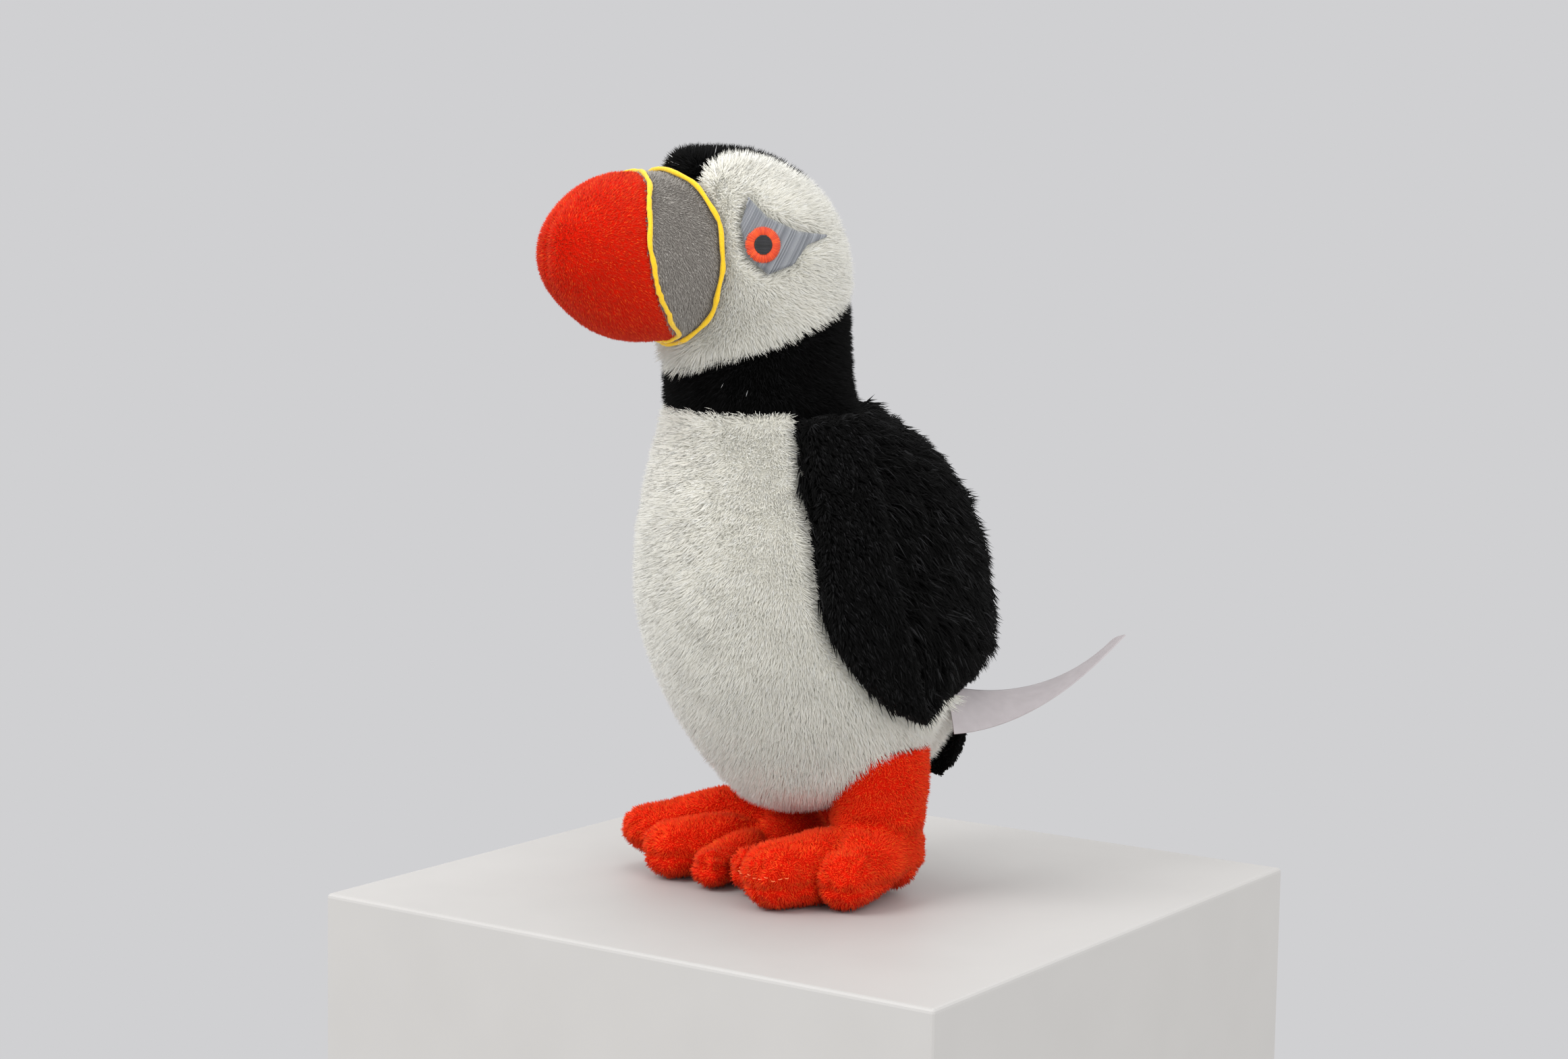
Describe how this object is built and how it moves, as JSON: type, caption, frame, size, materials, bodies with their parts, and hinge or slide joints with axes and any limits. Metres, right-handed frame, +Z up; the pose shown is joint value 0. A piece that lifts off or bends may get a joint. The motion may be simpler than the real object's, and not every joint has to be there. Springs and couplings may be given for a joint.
{
  "type": "plush puffin",
  "caption": "Standing plush puffin: soft body, big rounded beak, sewn-on wings and tail that lift, stuffed feet and a blank sewn-in ribbon label.",
  "frame": {"origin": "on the floor under the middle of the bounding box", "axes": "+Z up through the crown; the bird faces -Y; +X is the bird's own left side"},
  "size_m": [0.1021, 0.1753, 0.2115],
  "materials": {
    "white_pile": "short soft pile",
    "black_pile": "short soft pile",
    "long_black_pile": "shaggy tufted pile",
    "orange_velboa": "very short nap",
    "grey_velboa": "very short nap",
    "yellow_piping": "matt cord",
    "grey_thread": "satin stitch",
    "orange_thread": "satin stitch",
    "black_thread": "satin stitch",
    "black_lining": "knit cloth",
    "satin_ribbon": "satin",
    "filling": "loose polyester fibre",
    "pellet_cloth": "thin cloth bag"
  },
  "bodies": {
    "bird": {"neck_collar": "black_pile", "back_panel": "long_black_pile", "rump_panel": "white_pile", "belly_panel_left": "white_pile", "belly_panel_right": "white_pile", "crown_panel": "black_pile", "beak_tip_left": "orange_velboa", "beak_band_left": "grey_velboa", "beak_tip_right": "orange_velboa", "beak_band_right": "grey_velboa", "beak_front_piping": "yellow_piping", "beak_rear_piping": "yellow_piping", "beak_stuffing": "filling", "eye_patch_left": "grey_thread", "eye_ring_left": "orange_thread", "eye_pupil_left": "black_thread", "face_panel_left": "white_pile", "eye_patch_right": "grey_thread", "eye_ring_right": "orange_thread", "eye_pupil_right": "black_thread", "face_panel_right": "white_pile", "head_stuffing": "filling", "pellet_bag": "pellet_cloth", "body_stuffing": "filling", "foot_upper_left": "orange_velboa", "sole_left": "orange_velboa", "foot_stuffing_left": "filling", "leg_left": "orange_velboa", "foot_upper_right": "orange_velboa", "sole_right": "orange_velboa", "foot_stuffing_right": "filling", "leg_right": "orange_velboa"},
    "wing_left": {"wing_left_lining": "black_lining", "wing_left_plush": "black_pile"},
    "wing_right": {"wing_right_lining": "black_lining", "wing_right_plush": "black_pile"},
    "tail_flap": {"tail": "black_pile"},
    "label_flap": {"care_label": "satin_ribbon"}
  },
  "joints": [
    {"name": "wing_left_lift", "type": "hinge", "parent": "bird", "child": "wing_left", "pos_m": [0.0325, -0.0155, 0.1372], "axis": [0, -1, 0], "range_deg": [0, 65]},
    {"name": "wing_right_lift", "type": "hinge", "parent": "bird", "child": "wing_right", "pos_m": [-0.0325, -0.0155, 0.1372], "axis": [0, 1, 0], "range_deg": [0, 65]},
    {"name": "tail_lift", "type": "hinge", "parent": "bird", "child": "tail_flap", "pos_m": [0, 0.0485, 0.0515], "axis": [1, 0, 0], "range_deg": [0, 55]},
    {"name": "label_swing", "type": "hinge", "parent": "bird", "child": "label_flap", "pos_m": [0.0325, 0.0325, 0.0515], "axis": [0, 0.7071, 0.7071], "range_deg": [-30, 0]}
  ]
}
